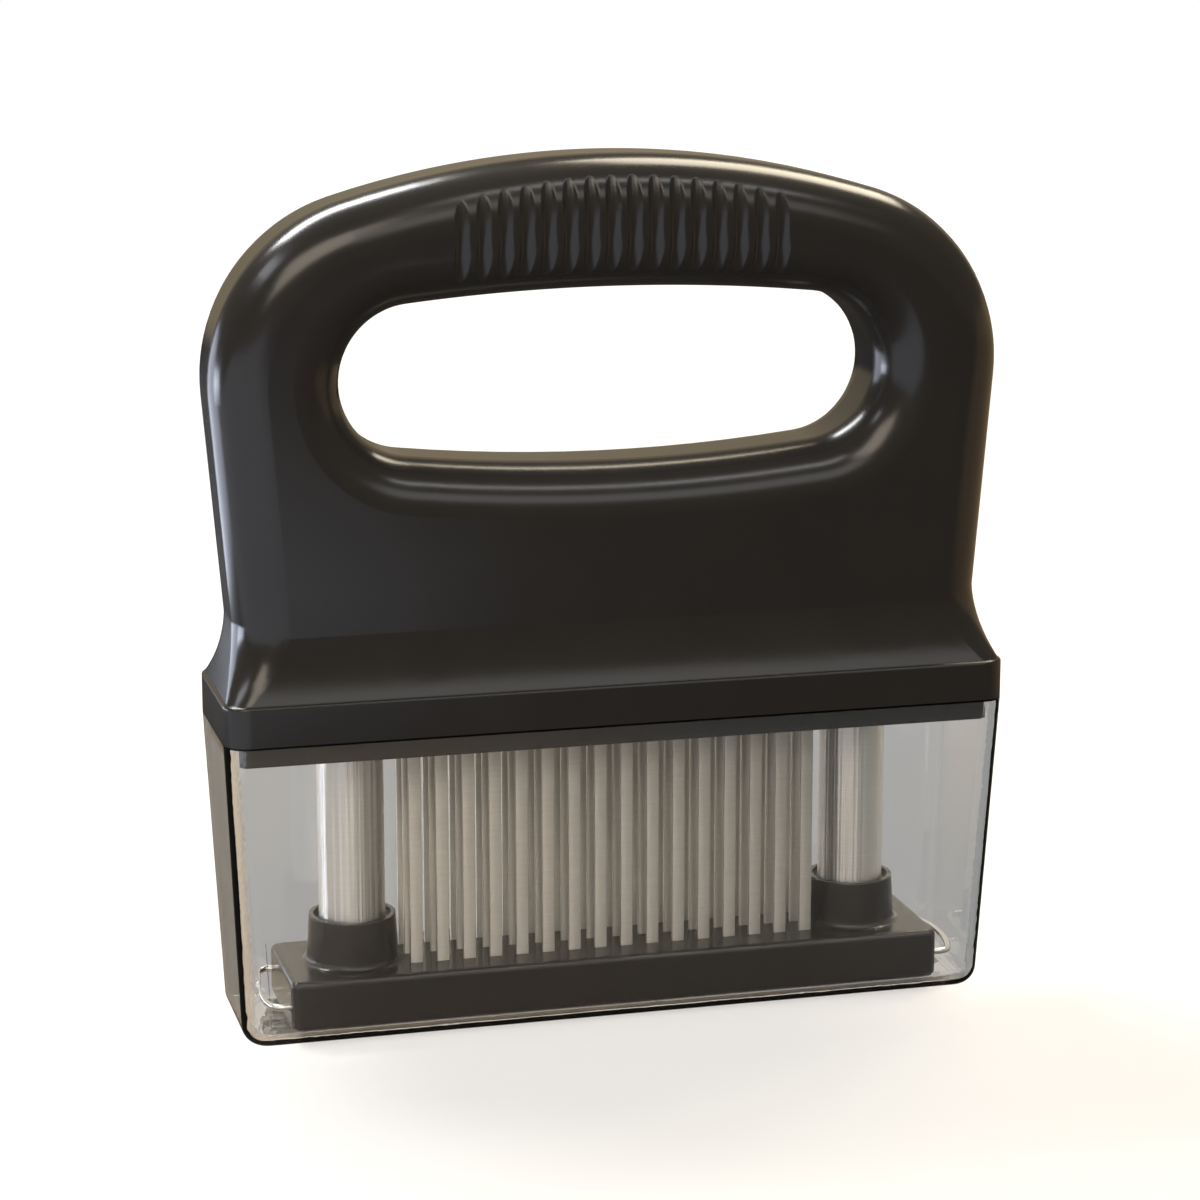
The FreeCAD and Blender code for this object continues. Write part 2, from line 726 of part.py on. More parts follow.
def buildCarrier():
    carrier = newBody("blade_carrier")
    packBlock(carrier, "carrier_block", "carrier_height")
    bladeSlots(carrier, "shank_slot", firstBlade, "0", "carrier_height")
    bladeSlots(
        carrier,
        "head_seat",
        firstBlade,
        "carrier_height - blade_head_height",
        "blade_head_height",
        width="blade_head_width",
    )
    return carrier


def buildClampPlate():
    clamp = newBody("blade_clamp_plate", z="cover_height + carrier_height")
    packBlock(clamp, "clamp_block", "blade_head_height")
    return clamp


def buildBladeRow(label, row):
    """Sixteen flat steel blades with a slanted point, hanging by their heads."""
    blades = newBody(label)
    blades.setExpression(
        "Placement.Base.y", bound(f"({row} - (row_count - 1) / 2) * row_pitch")
    )
    half, head = "blade_width / 2", "blade_head_width / 2"
    shoulder = "carrier_height - blade_head_height"
    corners = (
        (f"{firstBlade} - {half}", "-blade_reach + blade_bevel"),
        (f"{firstBlade} + {half}", "-blade_reach"),
        (f"{firstBlade} + {half}", shoulder),
        (f"{firstBlade} + {head}", shoulder),
        (f"{firstBlade} + {head}", "carrier_height"),
        (f"{firstBlade} - {head}", "carrier_height"),
        (f"{firstBlade} - {head}", shoulder),
        (f"{firstBlade} - {half}", shoulder),
    )
    outline = profileSketch(blades, f"{label}_outline", "XZ_Plane", corners)
    blade = pad(blades, outline, "blade_thickness", Midplane=True)
    pattern(blades, blade, f"{label}_pattern", "blade_count", "blade_pitch")
    return blades


# Columns: they carry the foot, slide in the guide bushes and hold the springs.

bushTop = "(boss_rise + bush_collar)"
columnTop = f"({bushTop} + ring_height + column_peen)"
columnFoot = "(cover_height - foot_clearance - foot_floor - fixed_clearance)"
clipLevel = "(foot_clearance + foot_height / 2)"
clipDrop = f"(cover_height - {clipLevel})"


def clipContact():
    """Distance from a column's axis to the middle of a clip leg."""
    reach = "(foot_length / 2 - column_spacing / 2)"
    return f"(clip_exit * cos(clip_angle * 1 deg) - {reach} * sin(clip_angle * 1 deg))"


def buildColumn(side, sign):
    column = newBody(f"{side}_column", x=f"{sign}column_spacing / 2")
    radius, bore, neck = "column_diameter / 2", "column_bore / 2", "column_neck / 2"
    groove = f"{clipContact()} - clip_wire / 2 - fixed_clearance"
    grooveHalf = "(clip_wire / 2 + fixed_clearance * 2)"
    corners = (
        ("0", f"-{columnFoot}"),
        (f"{radius} - column_chamfer", f"-{columnFoot}"),
        (radius, f"-{columnFoot} + column_chamfer"),
        (radius, f"-{clipDrop} - {grooveHalf}"),
        (groove, f"-{clipDrop} - {grooveHalf}"),
        (groove, f"-{clipDrop} + {grooveHalf}"),
        (radius, f"-{clipDrop} + {grooveHalf}"),
        (radius, bushTop),
        (neck, bushTop),
        (neck, columnTop),
        (bore, columnTop),
        (bore, f"-{columnFoot} + column_solid"),
        ("0", f"-{columnFoot} + column_solid"),
    )
    revolve(column, profileSketch(column, f"{side}_column_profile", "XZ_Plane", corners))
    return column


def buildGuideBush(side, sign):
    bush = newBody(f"{side}_guide_bush", x=f"{sign}column_spacing / 2")
    inner = "column_diameter / 2 + running_clearance"
    collar = f"{bushRadius} + fixed_clearance + boss_wall"
    corners = (
        (inner, "-lip_thickness"),
        (bushRadius, "-lip_thickness"),
        (bushRadius, "boss_rise"),
        (collar, "boss_rise"),
        (collar, bushTop),
        (inner, bushTop),
    )
    revolve(bush, profileSketch(bush, f"{side}_bush_profile", "XZ_Plane", corners))
    return bush


def buildStopRing(side, sign):
    ring = newBody(f"{side}_stop_ring", x=f"{sign}column_spacing / 2")
    inner = "column_neck / 2 + fixed_clearance"
    outer = "ring_diameter / 2"
    corners = (
        (inner, bushTop),
        (outer, bushTop),
        (outer, f"{bushTop} + ring_height"),
        (inner, f"{bushTop} + ring_height"),
    )
    revolve(ring, profileSketch(ring, f"{side}_ring_profile", "XZ_Plane", corners))
    return ring


def buildSpringPost(side, sign):
    """Headed pin in the bore's roof, which the spring pushes up against."""
    post = newBody(f"{side}_spring_post", x=f"{sign}column_spacing / 2")
    corners = (
        ("0", "bore_top - post_head - post_length"),
        ("post_diameter / 2", "bore_top - post_head - post_length"),
        ("post_diameter / 2", "bore_top - post_head"),
        ("spring_diameter / 2", "bore_top - post_head"),
        ("spring_diameter / 2", "bore_top"),
        ("post_spigot / 2", "bore_top"),
        ("post_spigot / 2", "bore_top + post_spigot"),
        ("0", "bore_top + post_spigot"),
    )
    revolve(post, profileSketch(post, f"{side}_post_profile", "XZ_Plane", corners))
    return post


def spiralPath(radius, low, high, turns):
    """A rising spiral as pairs of tangent arcs, two arcs to each quarter turn."""
    rise = (high - low) / turns

    def spot(turn):
        angle = 2 * math.pi * turn
        return FreeCAD.Vector(
            radius * math.cos(angle), radius * math.sin(angle), low + rise * turn
        )

    def heading(turn):
        angle = 2 * math.pi * turn
        way = FreeCAD.Vector(
            -radius * math.sin(angle), radius * math.cos(angle), rise / (2 * math.pi)
        )
        return way.normalize()

    edges = []
    quarters = int(round(turns * 4))
    for quarter in range(quarters):
        here, there = quarter / 4, (quarter + 1) / 4
        edges += arcPair(spot(here), heading(here), spot(there), heading(there))
    return Part.Wire(edges)


def arcPair(start, startWay, end, endWay):
    """Two arcs that leave along one heading, meet smoothly and arrive along another."""
    chord = end - start
    ways = startWay + endWay
    square = 2 * (1 - startWay.dot(endWay))
    lean = chord.dot(ways)
    reach = (-lean + math.sqrt(lean**2 + square * chord.dot(chord))) / square
    first, second = start + startWay * reach, end - endWay * reach
    joint = (first + second) * 0.5
    return [
        bentEdge(start, first, joint),
        bentEdge(joint, second, end),
    ]


def bentEdge(start, corner, end):
    """The arc tangent to both legs of a corner with legs of equal length."""
    middle = (start + end) * 0.5
    half = (end - start).Length / 2
    leg = (corner - start).Length
    toCorner = corner - middle
    sagitta = half * (leg - half) / toCorner.Length
    return Part.Arc(start, middle + toCorner.normalize() * sagitta, end).toShape()


def buildSpring(side, sign):
    wire, turns = size("spring_wire"), size("spring_turns")
    radius = (size("spring_diameter") - wire) / 2
    seat = size("fixed_clearance") + wire / 2
    low = size(f"column_solid - {columnFoot}") + seat
    high = size("bore_top - post_head") - seat
    path = spiralPath(radius, low, high, turns)
    first = path.Edges[0]
    start = first.valueAt(first.FirstParameter)
    way = first.tangentAt(first.FirstParameter)
    circle = Part.Wire([Part.Circle(start, way, wire / 2).toShape()])
    tube = path.makePipeShell([circle], True, False)
    print(f"{side} spring: least gap between turns {springGap(radius, low, high, turns):.2f} mm")
    spring = doc.addObject("Part::Feature", f"{side}_spring")
    spring.Shape = Part.Solid(tube) if tube.ShapeType != "Solid" else tube
    return place(spring, x=f"{sign}column_spacing / 2", z="cover_height")


def springGap(radius, low, high, turns):
    """The least distance between the tube's surfaces on neighbouring turns."""
    steps = 48
    rise = (high - low) / turns
    least = math.inf
    for step in range(steps // 2, 2 * steps):
        across = 2 * radius * math.sin(math.pi * step / steps)
        least = min(least, math.hypot(across, rise * step / steps))
    return least - size("spring_wire")


# Foot: the base plate with its two bosses, which the blades pass through.


def legLine(sign, half):
    """Ends of a clip leg's middle line: where it enters the foot, and its tip."""
    slant = math.radians(size("clip_angle"))
    enter = FreeCAD.Vector(size("foot_length") / 2, half * size("clip_exit"), 0)
    way = FreeCAD.Vector(-math.cos(slant), -half * math.sin(slant), 0)
    tip = enter + way * size("clip_leg")
    for end in (enter, tip):
        end.x *= sign
    return enter, tip


def buildFoot():
    foot = newBody("foot_core", z="foot_clearance")
    outline = roundedSketch(foot, "foot_outline", "foot_length", "foot_depth", "foot_corner")
    pad(foot, outline, "foot_height")
    roundEdges(
        foot,
        "foot_edges",
        "foot_edge_round",
        lambda edge: near(edgeLevel(edge, "Z"), "foot_height") or near(edgeLevel(edge, "Z"), "0"),
    )
    for side, sign in (("left", "-"), ("right", "")):
        across = f"{sign}column_spacing / 2"
        primitive(
            foot,
            "AdditiveCone",
            f"{side}_foot_boss",
            x=across,
            z="foot_height",
            Radius1="foot_boss_bottom / 2",
            Radius2="foot_boss_top / 2",
            Height="foot_boss_height",
        )
    roundEdges(
        foot,
        "boss_roots",
        "foot_edge_round",
        lambda edge: near(edgeLevel(edge, "Z"), "foot_height") and edge.Curve.TypeId == "Part::GeomCircle",
    )
    for side, sign in (("left", "-"), ("right", "")):
        across = f"{sign}column_spacing / 2"
        primitive(
            foot,
            "SubtractiveCylinder",
            f"{side}_socket",
            x=across,
            z="foot_floor",
            Radius="column_diameter / 2 + fixed_clearance",
            Height="foot_height + foot_boss_height",
        )
        primitive(
            foot,
            "SubtractiveCylinder",
            f"{side}_rim_step",
            x=across,
            z="foot_height + foot_boss_height - foot_boss_recess",
            Radius="column_diameter / 2 + foot_boss_step",
            Height="foot_boss_recess",
        )
    bladeSlots(foot, "foot_slot", firstBlade, "0", "foot_height")
    return foot


def buildClipHoles():
    """Slanted holes for the clip legs, from each end of the foot past the column."""
    holes = []
    for side, sign in (("left", -1), ("right", 1)):
        for half in (-1, 1):
            hole = doc.addObject("Part::Cylinder", f"{side}_clip_hole_{half + 1}")
            bind(
                hole,
                Radius="clip_wire / 2 + fixed_clearance",
                Height="clip_leg + 2 * fixed_clearance + clip_wire",
            )
            enter, tip = legLine(sign, half)
            way = enter - tip
            hole.Placement.Rotation = FreeCAD.Rotation(FreeCAD.Vector(0, 0, 1), way)
            slant = "clip_angle * 1 deg"
            along = f"(foot_length / 2 - (clip_leg + fixed_clearance) * cos({slant}))"
            across = f"(clip_exit - (clip_leg + fixed_clearance) * sin({slant}))"
            place(hole, x=f"{sign} * {along}", y=f"{half} * {across}", z=clipLevel)
            holes.append(hole)
    group = doc.addObject("Part::Compound", "clip_holes")
    group.Links = holes
    return group


def bowPath(sign, enters, tips):
    """Two straight legs, a bend at the end of each, and a wide bow that joins the bends."""
    bend, outer = size("clip_bend"), size("clip_outer")
    slant = math.radians(size("clip_angle"))
    # The bow's radius is the one at which it touches both bends and reaches clip_outer.
    bendX = abs(enters[0].x) + bend * math.sin(slant)
    bendY = abs(enters[0].y) - bend * math.cos(slant)
    short = outer - bendX
    bow = (short**2 + bendY**2 - bend**2) / (2 * (short - bend))
    bowX = outer - bow
    turn = math.atan2(bendY, bendX - bowX)
    # Where a bend meets the bow, and the middle of the bend between there and the leg.
    joinX, joinY = bowX + bow * math.cos(turn), bow * math.sin(turn)
    halfway = (turn + math.pi / 2 + slant) / 2
    overX, overY = bendX + bend * math.cos(halfway), bendY + bend * math.sin(halfway)
    joins = [FreeCAD.Vector(sign * joinX, half * joinY, 0) for half in (-1, 1)]
    overs = [FreeCAD.Vector(sign * overX, half * overY, 0) for half in (-1, 1)]
    return Part.Wire(
        [
            Part.LineSegment(tips[0], enters[0]).toShape(),
            Part.Arc(enters[0], overs[0], joins[0]).toShape(),
            Part.Arc(joins[0], FreeCAD.Vector(sign * outer, 0, 0), joins[1]).toShape(),
            Part.Arc(joins[1], overs[1], enters[1]).toShape(),
            Part.LineSegment(enters[1], tips[1]).toShape(),
        ]
    )


def buildClip(side, sign):
    """Wire loop that holds a column in the foot, its legs in the column's groove."""
    (enterA, tipA), (enterB, tipB) = legLine(sign, -1), legLine(sign, 1)
    path = bowPath(sign, (enterA, enterB), (tipA, tipB))
    way = (enterA - tipA).normalize()
    circle = Part.Wire([Part.Circle(tipA, way, size("clip_wire") / 2).toShape()])
    clip = doc.addObject("Part::Feature", f"{side}_retaining_clip")
    clip.Shape = path.makePipeShell([circle], True, False)
    return place(clip, z=clipLevel)


# Cover: one clear box, open at the top, that slides up round the lip plate.


def buildCover():
    cover = newBody("clear_cover", z="0")
    for name, kind, wall in (
        ("outer", "AdditiveLoft", "0"),
        ("inner", "SubtractiveLoft", "cover_wall"),
    ):
        sections = []
        for end, level, inset, corner in (
            ("rim", "cover_height", wall, "flange_corner"),
            ("floor", wall, f"({wall} + cover_draft)", "cover_base_corner"),
        ):
            length, depth = f"flange_length - 2 * {inset}", f"flange_depth - 2 * {inset}"
            corner = f"{corner} - {wall}"
            sections.append(
                roundedSketch(cover, f"{name}_{end}", length, depth, corner, level)
            )
        loft = cover.newObject(f"PartDesign::{kind}", f"{name}_form")
        loft.Profile = sections[0]
        loft.Sections = sections[1:]
        loft.Ruled = True
        roundEdges(
            cover,
            f"{name}_floor_round",
            f"cover_bottom_round - {wall}",
            lambda edge, level=wall: near(edgeLevel(edge, "Z"), level),
        )
    return cover


pieces = [handle, buildLipPlate(), buildScrews(), buildCarrier(), buildClampPlate()]
for row, label in enumerate(("front_blade_row", "middle_blade_row", "back_blade_row")):
    pieces.append(buildBladeRow(label, row))
for side, sign in (("left", "-"), ("right", "")):
    pieces.append(buildGuideBush(side, sign))
    pieces.append(buildColumn(side, sign))
    pieces.append(buildStopRing(side, sign))
    pieces.append(buildSpringPost(side, sign))
    pieces.append(buildSpring(side, sign))
foot = doc.addObject("Part::Cut", "foot_plate")
foot.Base = buildFoot()
foot.Tool = buildClipHoles()
pieces.append(foot)
for side, sign in (("left", -1), ("right", 1)):
    pieces.append(buildClip(side, sign))
pieces.append(buildCover())

doc.recompute()

failed = [thing.Label for thing in doc.Objects if {"Invalid", "Error"} & set(thing.State)]
if failed:
    raise RuntimeError(f"these objects did not build: {failed}")
for piece in pieces:
    if piece.Shape.isNull() or not piece.Shape.isValid():
        raise RuntimeError(f"{piece.Label} has no valid shape")

os.makedirs("parts", exist_ok=True)
for piece in pieces:
    piece.Shape.exportStep(f"parts/{piece.Label}.step")
    box = piece.Shape.BoundBox
    print(
        f"{piece.Label}: {len(piece.Shape.Solids)} solid(s), {piece.Shape.Volume:.1f} mm3,"
        f" X {box.XMin:.2f} {box.XMax:.2f}, Y {box.YMin:.2f} {box.YMax:.2f},"
        f" Z {box.ZMin:.2f} {box.ZMax:.2f}"
    )
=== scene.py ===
import json
import math

import bmesh
import bpy
from mathutils import Matrix, Vector


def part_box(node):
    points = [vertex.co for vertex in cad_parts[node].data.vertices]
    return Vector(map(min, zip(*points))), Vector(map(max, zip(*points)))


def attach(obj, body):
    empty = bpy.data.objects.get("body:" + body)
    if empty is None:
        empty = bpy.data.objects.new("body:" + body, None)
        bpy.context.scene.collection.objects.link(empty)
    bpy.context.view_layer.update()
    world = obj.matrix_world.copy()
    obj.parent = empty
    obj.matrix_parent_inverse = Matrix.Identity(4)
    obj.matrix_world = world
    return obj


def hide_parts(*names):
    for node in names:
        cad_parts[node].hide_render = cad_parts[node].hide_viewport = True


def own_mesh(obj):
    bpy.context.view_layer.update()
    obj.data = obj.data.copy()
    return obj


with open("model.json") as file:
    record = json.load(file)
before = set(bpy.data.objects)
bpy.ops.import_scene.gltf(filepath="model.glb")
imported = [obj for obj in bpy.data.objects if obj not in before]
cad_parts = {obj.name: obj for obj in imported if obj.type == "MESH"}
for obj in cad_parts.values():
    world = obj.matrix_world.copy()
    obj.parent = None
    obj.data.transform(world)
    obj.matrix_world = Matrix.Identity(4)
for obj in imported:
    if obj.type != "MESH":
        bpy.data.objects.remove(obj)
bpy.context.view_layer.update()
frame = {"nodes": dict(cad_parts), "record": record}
nodes = frame["nodes"]
mm = 0.001


# sRGB hex to the linear colour that the nodes take
def linearColour(hexText, alpha=1.0):
    channels = [int(hexText[i:i + 2], 16) / 255 for i in (1, 3, 5)]
    return [c / 12.92 if c <= 0.04045 else ((c + 0.055) / 1.055) ** 2.4 for c in channels] + [alpha]


def addNode(tree, kind, inputs=None, **settings):
    node = tree.nodes.new(kind)
    for name, value in settings.items():
        setattr(node, name, value)
    for socket, value in (inputs or {}).items():
        if isinstance(value, bpy.types.NodeSocket):
            tree.links.new(value, node.inputs[socket])
        else:
            node.inputs[socket].default_value = value
    return node


# Camera: found from the photograph's edges, as if the tool stood at the frame's middle
photoCamera = {
    "aim": (0.0002, 0.0037, 0.0673),
    "azimuth": -14.88,
    "elevation": 12.44,
    "distance": 0.5431,
    "lens": 98.6,
}


def placeCamera(view):
    turn, rise = math.radians(view["azimuth"]), math.radians(view["elevation"])
    back = Vector((math.sin(turn) * math.cos(rise), -math.cos(turn) * math.cos(rise), math.sin(rise)))
    camera = bpy.data.objects.new("photoCamera", bpy.data.cameras.new("photoCamera"))
    camera.data.lens = view["lens"]
    camera.data.sensor_width = 36
    camera.data.clip_start = 0.01
    camera.location = Vector(view["aim"]) + back * view["distance"]
    camera.rotation_euler = (-back).to_track_quat("-Z", "Y").to_euler()
    bpy.context.scene.collection.objects.link(camera)
    bpy.context.scene.camera = camera


placeCamera(photoCamera)
print("camera placed")

# Studio: a pale floor in a soft room. Gloss sees both much darker, as on a table in a dim room
# with bright lamps.
studio = {
    "floorHalf": 4.0,
    "floorColour": "#a8a6a2",
    "floorGlow": (0.42, 0.93),  # near the tool and far from it, where the lamps reach less
    "glowReach": (0.2, 1.3),
    "floorMirrorColour": "#2c2a28",
    # the floor that the pieces inside the cover mirror, left and right, and where one turns into the other
    "floorInnerColours": ("#8c8478", "#6e7276"),
    "floorInnerSpan": (0.0, 0.07),
    "roomColour": "#e9e4dc",
    "roomStrength": 0.5,
    "roomMirror": ("#d8c6a8", 0.17),
    "roomInner": ("#ece6da", 0.95),
    # each lamp's place, what it faces, the way its width lies, width and height, watts and colour
    "lamps": {
        "frontLeftBox": ((-0.3, -0.6, 0.62), (0.0, 0.0, 0.09), (1, 0, 0),
                         (0.5, 0.34), 2.6, "#fff1df"),
        "frontRightBox": ((0.22, -0.76, 0.6), (0.0, 0.0, 0.09), (1, 0, 0),
                          (0.5, 0.26), 0.7, "#ffffff"),
        "overheadStrip": ((0.16, -0.3, 0.64), (0.0, 0.0, 0.09), (1, 0, 0),
                          (0.35, 0.06), 0.4, "#ffffff"),
        "leftTopStrip": ((-0.2, 0.34, 0.62), (0.0, 0.0, 0.13), (1, 0, 0),
                         (0.36, 0.17), 5.0, "#ffffff"),
        "rightTopStrip": ((0.3, 0.27, 0.62), (0.0, 0.0, 0.13), (1, 0.35, 0),
                          (0.36, 0.24), 3.2, "#fff2d8"),
        "leftWindow": ((-0.57, -0.02, 0.62), (0.0, 0.0, 0.07), (0, 1, 0),
                       (0.3, 0.14), 0.7, "#f4f6ff"),
        "backScreen": ((0.2, 0.9, 0.3), (0.0, 0.0, 0.1), (1, 0, 0),
                       (1.4, 0.55), 1.1, "#d8c4a0"),
        # cards that lean away from the tool, for the upright stripes on the handle and the columns
        "leftBackCard": ((-0.38, 0.36, 0.1), (-0.106, 0.052, 1.01), (0.75, 0.66, 0),
                         (0.26, 0.48), 1.3, "#e4ecff"),
        "leftFrontCard": ((-0.3, -0.245, 0.085), (-0.023, -0.015, 1.015), (0.64, -0.77, 0),
                          (0.58, 0.47), 0.85, "#dce4f6"),
        "leftFarCard": ((-0.6, 0.25, 0.012), (-0.3, 0.1, 0.3), (0.4, 0.92, 0),
                        (0.2, 0.2), 1.6, "#e4ecff"),
        "rightCard": ((0.46, 0.07, 0.08), (0.096, 0.014, 1.01), (0.15, -0.98, 0),
                      (0.6, 0.54), 0.5, "#e6bf8c"),
    },
    # a wide box overhead that only lights, and mirrors in nothing
    "fillBox": ((0.05, -0.25, 0.95), (0.0, 0.0, 0.07), (1, 0, 0), (1.0, 0.9), 3.0, "#ffffff"),
}


# Which way a ray came: straight to the eye or through the cover, off a gloss, or off something
# inside the cover
def rayKinds(tree):
    path = addNode(tree, "ShaderNodeLightPath").outputs
    turned = addNode(tree, "ShaderNodeMath", {0: path["Glossy Depth"], 1: 0.5}, operation="GREATER_THAN")
    inside = addNode(tree, "ShaderNodeMath", {0: path["Is Transmission Ray"], 1: turned.outputs[0]},
                     operation="MULTIPLY")
    through = addNode(tree, "ShaderNodeMath", {0: path["Is Transmission Ray"], 1: inside.outputs[0]},
                      operation="SUBTRACT")
    straight = addNode(tree, "ShaderNodeMath", {0: path["Is Camera Ray"], 1: through.outputs[0]},
                       operation="MAXIMUM")
    return straight.outputs[0], path["Is Glossy Ray"], inside.outputs[0]


def lightStudio(values):
    scene = bpy.context.scene
    scene.view_settings.view_transform = "Standard"
    world = bpy.data.worlds.new("studioRoom")
    world.use_nodes = True
    scene.world = world
    tree = world.node_tree
    tree.nodes.clear()
    light = addNode(tree, "ShaderNodeBackground", {"Color": linearColour(values["roomColour"]),
                    "Strength": values["roomStrength"]}).outputs[0]
    roomSeen = (("#ffffff", 1.0), values["roomMirror"], values["roomInner"])
    for kind, (colour, strength) in zip(rayKinds(tree), roomSeen):
        seen = addNode(tree, "ShaderNodeBackground", {"Color": linearColour(colour), "Strength": strength})
        light = addNode(tree, "ShaderNodeMixShader", {0: kind, 1: light, 2: seen.outputs[0]}).outputs[0]
    addNode(tree, "ShaderNodeOutputWorld", {"Surface": light})

    for name, row in {**values["lamps"], "fillBox": values["fillBox"]}.items():
        place, facing, along, extent, power, colour = row
        lamp = bpy.data.lights.new(name, "AREA")
        lamp.shape = "RECTANGLE"
        lamp.size, lamp.size_y = extent
        lamp.energy = power
        lamp.color = linearColour(colour)[:3]
        # the lamp itself doesn't show, also not through the cover, but everything shiny mirrors it
        lamp.use_nodes = True
        tree = lamp.node_tree
        tree.nodes.clear()
        strength = addNode(tree, "ShaderNodeMath", {0: 1.0, 1: rayKinds(tree)[0]}, operation="SUBTRACT")
        glow = addNode(tree, "ShaderNodeEmission", {"Color": (1, 1, 1, 1), "Strength": strength.outputs[0]})
        addNode(tree, "ShaderNodeOutputLight", {"Surface": glow.outputs[0]})
        holder = bpy.data.objects.new(name, lamp)
        holder.visible_camera = False
        holder.visible_glossy = name != "fillBox"
        back = (Vector(place) - Vector(facing)).normalized()
        side = (Vector(along) - back * back.dot(Vector(along))).normalized()
        turned = Matrix((side, back.cross(side), back)).transposed()
        holder.matrix_world = Matrix.Translation(place) @ turned.to_4x4()
        scene.collection.objects.link(holder)


def layFloor(values):
    half = values["floorHalf"]
    mesh = bpy.data.meshes.new("studioFloor")
    corners = [(-half, -half, 0), (half, -half, 0), (half, half, 0), (-half, half, 0)]
    mesh.from_pydata(corners, [], [(0, 1, 2, 3)])
    material = bpy.data.materials.new("mattStudioPaper")
    material.use_nodes = True
    material.cycles.emission_sampling = "NONE"
    tree = material.node_tree
    tree.nodes.clear()
    straight, mirrored, inside = rayKinds(tree)
    place = addNode(tree, "ShaderNodeTexCoord").outputs["Object"]
    away = addNode(tree, "ShaderNodeVectorMath", {0: place}, operation="LENGTH").outputs["Value"]
    nearReach, farReach = values["glowReach"]
    nearGlow, farGlow = values["floorGlow"]
    glow = addNode(tree, "ShaderNodeMapRange", {"Value": away, "From Min": nearReach, "From Max": farReach,
                   "To Min": nearGlow, "To Max": farGlow}, interpolation_type="SMOOTHSTEP").outputs[0]
    glow = addNode(tree, "ShaderNodeMath", {0: glow, 1: straight}, operation="MULTIPLY").outputs[0]
    colour = addNode(tree, "ShaderNodeMix", {0: mirrored, 6: linearColour(values["floorColour"]),
                     7: linearColour(values["floorMirrorColour"])}, data_type="RGBA").outputs[2]
    across = addNode(tree, "ShaderNodeSeparateXYZ", {0: place}).outputs["X"]
    spanStart, spanEnd = values["floorInnerSpan"]
    across = addNode(tree, "ShaderNodeMapRange", {"Value": across, "From Min": spanStart,
                     "From Max": spanEnd}).outputs[0]
    left, right = values["floorInnerColours"]
    tinted = addNode(tree, "ShaderNodeMix", {0: across, 6: linearColour(left), 7: linearColour(right)},
                     data_type="RGBA").outputs[2]
    colour = addNode(tree, "ShaderNodeMix", {0: inside, 6: colour, 7: tinted}, data_type="RGBA").outputs[2]
    paper = addNode(tree, "ShaderNodeBsdfDiffuse", {"Color": colour})
    light = addNode(tree, "ShaderNodeEmission", {"Color": (1, 1, 1, 1), "Strength": glow})
    both = addNode(tree, "ShaderNodeAddShader", {0: paper.outputs[0], 1: light.outputs[0]})
    addNode(tree, "ShaderNodeOutputMaterial", {"Surface": both.outputs[0]})
    mesh.materials.append(material)
    floor = bpy.data.objects.new("studioFloor", mesh)
    bpy.context.scene.collection.objects.link(floor)


lightStudio(studio)
layFloor(studio)
print("studio lit")


# Materials. The pattern space of each is Object coordinates in millimetres.
def newFinish(name):
    material = bpy.data.materials.new(name)
    material.use_nodes = True
    tree = material.node_tree
    tree.nodes.clear()
    shader = addNode(tree, "ShaderNodeBsdfPrincipled")
    addNode(tree, "ShaderNodeOutputMaterial", {"Surface": shader.outputs[0]})
    place = addNode(tree, "ShaderNodeTexCoord")
    inMm = addNode(tree, "ShaderNodeMapping", {"Vector": place.outputs["Object"], "Scale": (1 / mm,) * 3})
    return material, tree, shader, inMm.outputs[0]


def mouldedAbs():
    # ABS, injection moulded in a polished tool: a satin black that mirrors lamps softly, with a faint
    # orange peel. Its edges are softened in the shading only; a black band of painted shade lies along the
    # joint under the flange.
    look = {"colour": "#211f1e", "fadedColour": "#262421", "roughness": (0.17, 0.24), "specular": 0.45,
            "edgeBreak": 0.45, "edgeSamples": 6, "seamShadeHeight": 50.6, "seamShadeWidth": 0.7,
            "peelSize": 0.7, "peelDepth": 0.0015,
            "flowSize": 14.0, "flowDepth": 0.02}
    material, tree, shader, inMm = newFinish("mouldedAbs")
    soft = addNode(tree, "ShaderNodeBevel", {"Radius": look["edgeBreak"] * mm}, samples=look["edgeSamples"])
    height = addNode(tree, "ShaderNodeSeparateXYZ", {0: inMm}).outputs["Z"]
    # mask for the band of painted shade along the joint under the flange
    seamShade = addNode(tree, "ShaderNodeMath", {0: height, 1: look["seamShadeHeight"], 2: look["seamShadeWidth"] / 2},
                   operation="COMPARE")
    flow = addNode(tree, "ShaderNodeTexNoise", {"Vector": inMm, "Scale": 1 / look["flowSize"], "Detail": 2.0})
    peel = addNode(tree, "ShaderNodeTexNoise", {"Vector": inMm, "Scale": 1 / look["peelSize"], "Detail": 1.0})
    tone = addNode(tree, "ShaderNodeMix", {0: flow.outputs[0], 6: linearColour(look["colour"]),
                   7: linearColour(look["fadedColour"])}, data_type="RGBA")
    # painted shade: no light comes out of the joint between the flange and the cover, so a black band is
    # painted there to stand for its shadow
    tone = addNode(tree, "ShaderNodeMix", {0: seamShade.outputs[0], 6: tone.outputs[2], 7: (0, 0, 0, 1)},
                   data_type="RGBA")
    wave = addNode(tree, "ShaderNodeBump", {"Height": flow.outputs[0], "Distance": look["flowDepth"] * mm,
                   "Normal": soft.outputs[0]})
    skin = addNode(tree, "ShaderNodeBump", {"Height": peel.outputs[0], "Distance": look["peelDepth"] * mm,
                   "Normal": wave.outputs[0]})
    gloss = addNode(tree, "ShaderNodeMapRange", {"Value": flow.outputs[0], "To Min": look["roughness"][0],
                    "To Max": look["roughness"][1]})
    shader.inputs["Specular IOR Level"].default_value = look["specular"]
    tree.links.new(tone.outputs[2], shader.inputs["Base Color"])
    tree.links.new(gloss.outputs[0], shader.inputs["Roughness"])
    tree.links.new(skin.outputs[0], shader.inputs["Normal"])
    return material


